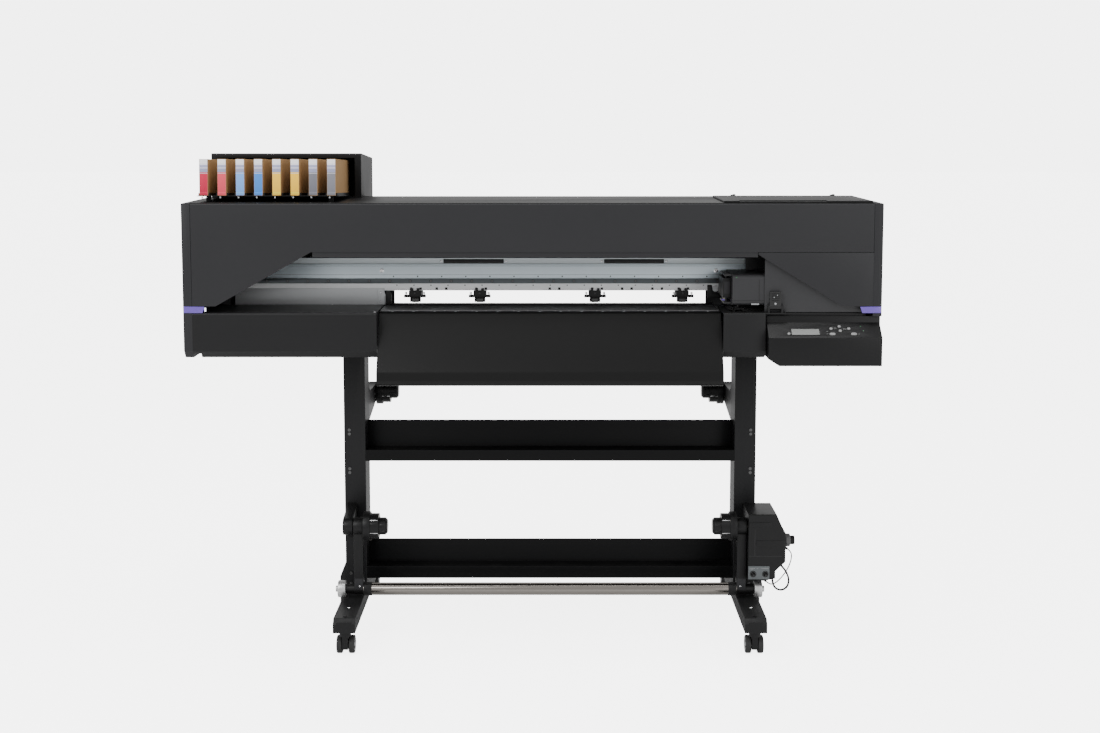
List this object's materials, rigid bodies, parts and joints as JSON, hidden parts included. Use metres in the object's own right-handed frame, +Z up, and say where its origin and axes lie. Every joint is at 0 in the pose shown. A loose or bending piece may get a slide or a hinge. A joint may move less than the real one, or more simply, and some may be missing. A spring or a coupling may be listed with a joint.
{
  "type": "wide-format printer cutter",
  "caption": "Floor-standing roll printer cutter with long hood, travelling carriage, angled operation panel, ink cartons, rear feed and front take-up on a caster stand.",
  "frame": {"origin": "on the floor under the centre of the machine's bounding box", "axes": "+X to the operator's right along the rail, +Y to the rear where the supply roll hangs, +Z up"},
  "size_m": [1.965, 0.7, 1.4265],
  "materials": {
    "cover_black": "fine-textured moulded cover, satin",
    "frame_black": "black powder coat, satin",
    "dark_plastic": "black moulded plastic",
    "aluminium": "anodised, satin",
    "light_metal": "brushed and clear coated",
    "steel": "turned steel",
    "apron_black": "black satin sheet",
    "accent": "violet satin plastic",
    "carton": "kraft board with a printed front",
    "rubber": "moulded rubber",
    "key_grey": "light grey keys",
    "cable": "black jacket"
  },
  "bodies": {
    "body_and_stand": {"stand_legs": "frame_black", "stand_feet": "frame_black", "cross_beams": "frame_black", "base_frame": "frame_black", "rail_beam": "aluminium", "carriage_drive": "steel", "platen": "light_metal", "media_guides": "apron_black", "capping_station": "dark_plastic", "hood_top": "cover_black", "back_cover": "cover_black", "end_caps": "cover_black", "accent_stripes": "accent", "lower_left_cover": "cover_black", "right_cover": "cover_black", "inner_cover": "cover_black", "lower_right_cover": "cover_black", "panel_housing": "dark_plastic", "ink_housing": "dark_plastic", "roll_brackets": "frame_black", "motor_unit": "dark_plastic", "takeup_cable": "cable", "sensor_lead": "cable", "fasteners": "steel"},
    "front_cover": {"front_cover": "cover_black"},
    "top_lid": {"top_lid": "cover_black"},
    "carriage": {"carriage": "dark_plastic", "carriage_sliders": "steel"},
    "cutter_head": {"cutter_head": "dark_plastic"},
    "grit_roller": {"grit_roller": "steel"},
    "pinch_arms": {"pinch_arms": "dark_plastic"},
    "pinch_wheels": {"pinch_wheels": "rubber"},
    "clamp_lever": {"clamp_lever": "dark_plastic"},
    "feed_flanges": {"feed_flanges": "dark_plastic"},
    "takeup_flanges": {"takeup_flanges": "dark_plastic"},
    "tension_bar": {"tension_bar": "steel"},
    "toggle_1": {"toggle_1": "dark_plastic"},
    "toggle_2": {"toggle_2": "dark_plastic"},
    "limiter_knob": {"limiter_knob": "steel"},
    "power_button": {"power_button": "key_grey"},
    "key_up": {"key_up": "key_grey"},
    "key_left": {"key_left": "key_grey"},
    "key_right": {"key_right": "key_grey"},
    "key_down": {"key_down": "key_grey"},
    "key_end": {"key_end": "key_grey"},
    "key_enter": {"key_enter": "key_grey"},
    "ink_pack_1": {"ink_pack_1": "carton"},
    "ink_pack_2": {"ink_pack_2": "carton"},
    "ink_pack_3": {"ink_pack_3": "carton"},
    "ink_pack_4": {"ink_pack_4": "carton"},
    "ink_pack_5": {"ink_pack_5": "carton"},
    "ink_pack_6": {"ink_pack_6": "carton"},
    "ink_pack_7": {"ink_pack_7": "carton"},
    "ink_pack_8": {"ink_pack_8": "carton"},
    "caster_fork_front_left": {"caster_fork_front_left": "dark_plastic"},
    "caster_wheels_front_left": {"caster_wheels_front_left": "rubber"},
    "caster_fork_front_right": {"caster_fork_front_right": "dark_plastic"},
    "caster_wheels_front_right": {"caster_wheels_front_right": "rubber"},
    "caster_fork_rear_left": {"caster_fork_rear_left": "dark_plastic"},
    "caster_wheels_rear_left": {"caster_wheels_rear_left": "rubber"},
    "caster_fork_rear_right": {"caster_fork_rear_right": "dark_plastic"},
    "caster_wheels_rear_right": {"caster_wheels_rear_right": "rubber"}
  },
  "joints": [
    {"name": "front_cover_hinge", "type": "hinge", "parent": "body_and_stand", "child": "front_cover", "pos_m": [0, -0.305, 1.288], "axis": [-1, 0, 0], "range_deg": [0, 80]},
    {"name": "top_lid_hinge", "type": "hinge", "parent": "body_and_stand", "child": "top_lid", "pos_m": [0.747, 0.016, 1.299], "axis": [-1, 0, 0], "range_deg": [0, 80]},
    {"name": "carriage_travel", "type": "slide", "parent": "body_and_stand", "child": "carriage", "axis": [-1, 0, 0], "range_m": [0, 1.46]},
    {"name": "cutter_drop", "type": "slide", "parent": "carriage", "child": "cutter_head", "axis": [0, 0, -1], "range_m": [0, 0.005]},
    {"name": "grit_roller_spin", "type": "hinge", "parent": "body_and_stand", "child": "grit_roller", "pos_m": [0.0495, -0.095, 0.974], "axis": [1, 0, 0], "continuous": true},
    {"name": "pinch_arm_lift", "type": "hinge", "parent": "body_and_stand", "child": "pinch_arms", "pos_m": [0.0495, -0.045, 1.034], "axis": [1, 0, 0], "range_deg": [0, 7.5]},
    {"name": "clamp_lever_turn", "type": "hinge", "parent": "body_and_stand", "child": "clamp_lever", "pos_m": [0.684, -0.2975, 1], "axis": [1, 0, 0], "range_deg": [0, 45]},
    {"name": "pinch_wheel_spin", "type": "hinge", "parent": "pinch_arms", "child": "pinch_wheels", "pos_m": [0.0495, -0.10013, 0.99829], "axis": [1, 0, 0], "continuous": true},
    {"name": "feed_flange_spin", "type": "hinge", "parent": "body_and_stand", "child": "feed_flanges", "pos_m": [0.0495, 0.252, 0.664], "axis": [1, 0, 0], "continuous": true},
    {"name": "takeup_flange_spin", "type": "hinge", "parent": "body_and_stand", "child": "takeup_flanges", "pos_m": [0.0495, -0.161, 0.333], "axis": [1, 0, 0], "continuous": true},
    {"name": "tension_bar_swing", "type": "hinge", "parent": "body_and_stand", "child": "tension_bar", "pos_m": [0.0495, -0.161, 0.333], "axis": [-1, 0, 0], "range_deg": [-12, 60]},
    {"name": "limiter_turn", "type": "hinge", "parent": "body_and_stand", "child": "limiter_knob", "pos_m": [0.75, -0.161, 0.291], "axis": [1, 0, 0], "range_deg": [0, 270]},
    {"name": "toggle_1_tilt", "type": "hinge", "parent": "body_and_stand", "child": "toggle_1", "pos_m": [0.645, -0.2, 0.2], "axis": [1, 0, 0], "range_deg": [-12, 12]},
    {"name": "toggle_2_tilt", "type": "hinge", "parent": "body_and_stand", "child": "toggle_2", "pos_m": [0.681, -0.2, 0.2], "axis": [1, 0, 0], "range_deg": [-12, 12]},
    {"name": "power_button_press", "type": "slide", "parent": "body_and_stand", "child": "power_button", "axis": [0, 0.6622, -0.7493], "range_m": [0, 0.001], "stiffness_N_per_m": 400},
    {"name": "key_up_press", "type": "slide", "parent": "body_and_stand", "child": "key_up", "axis": [0, 0.6622, -0.7493], "range_m": [0, 0.001], "stiffness_N_per_m": 400},
    {"name": "key_left_press", "type": "slide", "parent": "body_and_stand", "child": "key_left", "axis": [0, 0.6622, -0.7493], "range_m": [0, 0.001], "stiffness_N_per_m": 400},
    {"name": "key_right_press", "type": "slide", "parent": "body_and_stand", "child": "key_right", "axis": [0, 0.6622, -0.7493], "range_m": [0, 0.001], "stiffness_N_per_m": 400},
    {"name": "key_down_press", "type": "slide", "parent": "body_and_stand", "child": "key_down", "axis": [0, 0.6622, -0.7493], "range_m": [0, 0.001], "stiffness_N_per_m": 400},
    {"name": "key_end_press", "type": "slide", "parent": "body_and_stand", "child": "key_end", "axis": [0, 0.6622, -0.7493], "range_m": [0, 0.001], "stiffness_N_per_m": 400},
    {"name": "key_enter_press", "type": "slide", "parent": "body_and_stand", "child": "key_enter", "axis": [0, 0.6622, -0.7493], "range_m": [0, 0.001], "stiffness_N_per_m": 400},
    {"name": "ink_pack_1_pull", "type": "slide", "parent": "body_and_stand", "child": "ink_pack_1", "axis": [0, -0.9991, 0.0419], "range_m": [0, 0.28]},
    {"name": "ink_pack_2_pull", "type": "slide", "parent": "body_and_stand", "child": "ink_pack_2", "axis": [0, -0.9991, 0.0419], "range_m": [0, 0.28]},
    {"name": "ink_pack_3_pull", "type": "slide", "parent": "body_and_stand", "child": "ink_pack_3", "axis": [0, -0.9991, 0.0419], "range_m": [0, 0.28]},
    {"name": "ink_pack_4_pull", "type": "slide", "parent": "body_and_stand", "child": "ink_pack_4", "axis": [0, -0.9991, 0.0419], "range_m": [0, 0.28]},
    {"name": "ink_pack_5_pull", "type": "slide", "parent": "body_and_stand", "child": "ink_pack_5", "axis": [0, -0.9991, 0.0419], "range_m": [0, 0.28]},
    {"name": "ink_pack_6_pull", "type": "slide", "parent": "body_and_stand", "child": "ink_pack_6", "axis": [0, -0.9991, 0.0419], "range_m": [0, 0.28]},
    {"name": "ink_pack_7_pull", "type": "slide", "parent": "body_and_stand", "child": "ink_pack_7", "axis": [0, -0.9991, 0.0419], "range_m": [0, 0.28]},
    {"name": "ink_pack_8_pull", "type": "slide", "parent": "body_and_stand", "child": "ink_pack_8", "axis": [0, -0.9991, 0.0419], "range_m": [0, 0.28]},
    {"name": "swivel_front_left", "type": "hinge", "parent": "body_and_stand", "child": "caster_fork_front_left", "pos_m": [-0.5365, -0.323, 0.072], "axis": [0, 0, 1], "continuous": true},
    {"name": "roll_front_left", "type": "hinge", "parent": "caster_fork_front_left", "child": "caster_wheels_front_left", "pos_m": [-0.5365, -0.305, 0.026], "axis": [1, 0, 0], "continuous": true},
    {"name": "swivel_front_right", "type": "hinge", "parent": "body_and_stand", "child": "caster_fork_front_right", "pos_m": [0.6355, -0.323, 0.072], "axis": [0, 0, 1], "continuous": true},
    {"name": "roll_front_right", "type": "hinge", "parent": "caster_fork_front_right", "child": "caster_wheels_front_right", "pos_m": [0.6355, -0.305, 0.026], "axis": [1, 0, 0], "continuous": true},
    {"name": "swivel_rear_left", "type": "hinge", "parent": "body_and_stand", "child": "caster_fork_rear_left", "pos_m": [-0.5365, 0.323, 0.072], "axis": [0, 0, 1], "continuous": true},
    {"name": "roll_rear_left", "type": "hinge", "parent": "caster_fork_rear_left", "child": "caster_wheels_rear_left", "pos_m": [-0.5365, 0.305, 0.026], "axis": [1, 0, 0], "continuous": true},
    {"name": "swivel_rear_right", "type": "hinge", "parent": "body_and_stand", "child": "caster_fork_rear_right", "pos_m": [0.6355, 0.323, 0.072], "axis": [0, 0, 1], "continuous": true},
    {"name": "roll_rear_right", "type": "hinge", "parent": "caster_fork_rear_right", "child": "caster_wheels_rear_right", "pos_m": [0.6355, 0.305, 0.026], "axis": [1, 0, 0], "continuous": true}
  ],
  "couplings": [
    {"joint": "clamp_lever_turn", "follows": "pinch_arm_lift", "ratio": 6}
  ]
}
